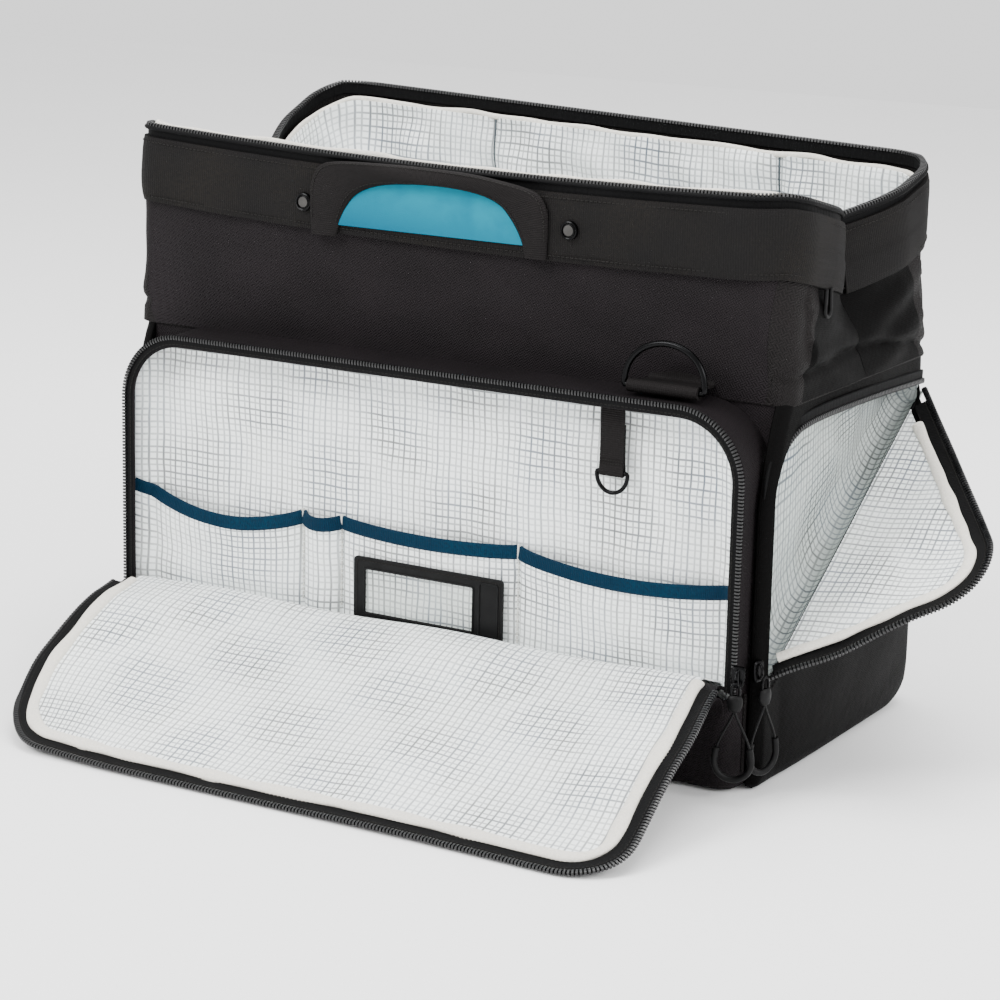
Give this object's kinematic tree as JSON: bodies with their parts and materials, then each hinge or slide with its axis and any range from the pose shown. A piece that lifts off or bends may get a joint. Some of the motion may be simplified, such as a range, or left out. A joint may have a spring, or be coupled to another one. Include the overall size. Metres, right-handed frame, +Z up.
{
  "type": "gate-mouth camera shoulder bag",
  "caption": "Doctor-style camera shoulder bag with a wide framed mouth, a fold-down organizer pocket at the front and a zipped pocket on each side.",
  "frame": {"origin": "centre of the base underside", "axes": "+X to the bag's right seen from the front, -Y to the front, +Z up"},
  "size_m": [0.655, 0.4932, 0.407],
  "materials": {
    "ballistic_nylon": "charcoal ballistic weave, matt",
    "smooth_nylon": "smooth black packcloth",
    "webbing": "wide ribbed webbing, dark warm grey",
    "lining": "pale lining with a fine irregular grid",
    "teal_binding": "deep teal binding tape",
    "teal_patch": "bright teal soft patch",
    "zip_tape": "black coil zip on woven tape",
    "black_metal": "gloss black coated metal",
    "frame_steel": "flat spring steel",
    "rubber": "moulded black rubber and cord",
    "clear_vinyl": "clear vinyl window",
    "board": "stiff plastic board"
  },
  "bodies": {
    "root": {"base_panel": "ballistic_nylon", "base_board": "board", "front_wall": "ballistic_nylon", "back_wall": "ballistic_nylon", "right_wall": "lining", "left_wall": "lining", "interior_lining": "lining", "right_side_panel": "smooth_nylon", "left_side_panel": "smooth_nylon", "right_pocket_zip": "zip_tape", "left_pocket_zip": "zip_tape", "front_upper_panel": "ballistic_nylon", "back_upper_panel": "ballistic_nylon", "right_front_gusset": "smooth_nylon", "right_rear_gusset": "smooth_nylon", "left_front_gusset": "smooth_nylon", "left_rear_gusset": "smooth_nylon", "front_pocket_gusset": "ballistic_nylon", "front_pocket_foot": "ballistic_nylon", "front_pocket_zip": "zip_tape", "organizer_panel": "lining", "left_slip_pocket": "lining", "pen_pocket": "lining", "centre_slip_pocket": "lining", "right_slip_pocket": "lining", "pocket_binding": "teal_binding", "window_frame": "smooth_nylon", "window_pane": "clear_vinyl", "front_ring_tab": "webbing", "back_ring_tab": "webbing", "left_pocket_slider": "black_metal"},
    "front_mouth": {"front_band": "webbing", "front_frame": "frame_steel", "front_rim_zip": "zip_tape", "front_handle": "webbing", "handle_backing": "teal_patch", "rivet_left": "black_metal", "rivet_right": "black_metal", "main_slider": "black_metal"},
    "back_mouth": {"back_band": "webbing", "back_frame": "frame_steel", "back_rim_zip": "zip_tape", "back_handle": "webbing"},
    "front_flap": {"front_flap_panel": "ballistic_nylon", "front_flap_zip": "zip_tape"},
    "right_flap": {"right_flap_panel": "smooth_nylon", "right_flap_zip": "zip_tape"},
    "left_flap": {"left_flap_panel": "smooth_nylon", "left_flap_zip": "zip_tape"},
    "front_pocket_slider": {"front_pocket_slider": "black_metal"},
    "front_pocket_pull": {"front_pocket_pull": "rubber"},
    "right_pocket_slider": {"right_pocket_slider": "black_metal"},
    "right_pocket_pull": {"right_pocket_pull": "rubber"},
    "left_pocket_pull": {"left_pocket_pull": "rubber"},
    "main_pull": {"main_pull": "rubber"},
    "front_d_ring": {"front_d_ring": "black_metal"},
    "back_d_ring": {"back_d_ring": "black_metal"},
    "key_strap": {"key_strap": "webbing"},
    "key_ring": {"key_ring": "black_metal"}
  },
  "joints": [
    {"name": "front_mouth_close", "type": "hinge", "parent": "root", "child": "front_mouth", "pos_m": [0, -0.08, 0.318], "axis": [-1, 0, 0], "range_deg": [0, 87], "deforming": ["front_upper_panel", "right_front_gusset", "left_front_gusset"]},
    {"name": "back_mouth_close", "type": "hinge", "parent": "root", "child": "back_mouth", "pos_m": [0, 0.084, 0.318], "axis": [1, 0, 0], "range_deg": [0, 82], "deforming": ["back_upper_panel", "right_rear_gusset", "left_rear_gusset"]},
    {"name": "front_flap_fold", "type": "hinge", "parent": "root", "child": "front_flap", "pos_m": [0, -0.1669, 0.064], "axis": [-1, 0, 0], "range_deg": [0, 107.5]},
    {"name": "right_flap_fold", "type": "hinge", "parent": "root", "child": "right_flap", "pos_m": [0.2634, -0.1345, 0.076], "axis": [0, 0.8362, 0.5484], "range_deg": [-75, 90]},
    {"name": "left_flap_fold", "type": "hinge", "parent": "root", "child": "left_flap", "pos_m": [-0.2634, -0.1345, 0.076], "axis": [0, -0.8362, -0.5484], "range_deg": [0, 165]},
    {"name": "front_pocket_slider_travel", "type": "slide", "parent": "root", "child": "front_pocket_slider", "axis": [0, 0, 1], "range_m": [0, 0.11]},
    {"name": "front_pocket_pull_swing", "type": "hinge", "parent": "front_pocket_slider", "child": "front_pocket_pull", "pos_m": [0.258, -0.1744, 0.079], "axis": [-1, 0, 0], "range_deg": [-15, 80]},
    {"name": "right_pocket_slider_travel", "type": "slide", "parent": "root", "child": "right_pocket_slider", "axis": [0, 0, 1], "range_m": [0, 0.08]},
    {"name": "right_pocket_pull_swing", "type": "hinge", "parent": "right_pocket_slider", "child": "right_pocket_pull", "pos_m": [0.2675, -0.146, 0.079], "axis": [0, -1, 0], "range_deg": [-5, 80]},
    {"name": "left_pocket_pull_swing", "type": "hinge", "parent": "root", "child": "left_pocket_pull", "pos_m": [-0.2723, 0.114, 0.237], "axis": [0, 1, 0], "range_deg": [0, 80]},
    {"name": "main_pull_swing", "type": "hinge", "parent": "front_mouth", "child": "main_pull", "pos_m": [0.2648, -0.072, 0.329], "axis": [0, -1, 0], "range_deg": [0, 80]},
    {"name": "front_d_ring_swing", "type": "hinge", "parent": "root", "child": "front_d_ring", "pos_m": [0.184, -0.15, 0.268], "axis": [1, 0, 0], "range_deg": [0, 85]},
    {"name": "back_d_ring_swing", "type": "hinge", "parent": "root", "child": "back_d_ring", "pos_m": [-0.184, 0.13, 0.269], "axis": [-1, 0, 0], "range_deg": [0, 160]},
    {"name": "key_strap_swing", "type": "hinge", "parent": "root", "child": "key_strap", "pos_m": [0.148, -0.151, 0.252], "axis": [1, 0, 0], "range_deg": [-80, 0]},
    {"name": "key_ring_swing", "type": "hinge", "parent": "key_strap", "child": "key_ring", "pos_m": [0.148, -0.151, 0.2071], "axis": [1, 0, 0], "range_deg": [-75, 0]}
  ],
  "couplings": [
    {"joint": "back_mouth_close", "follows": "front_mouth_close", "ratio": 0.9425}
  ]
}
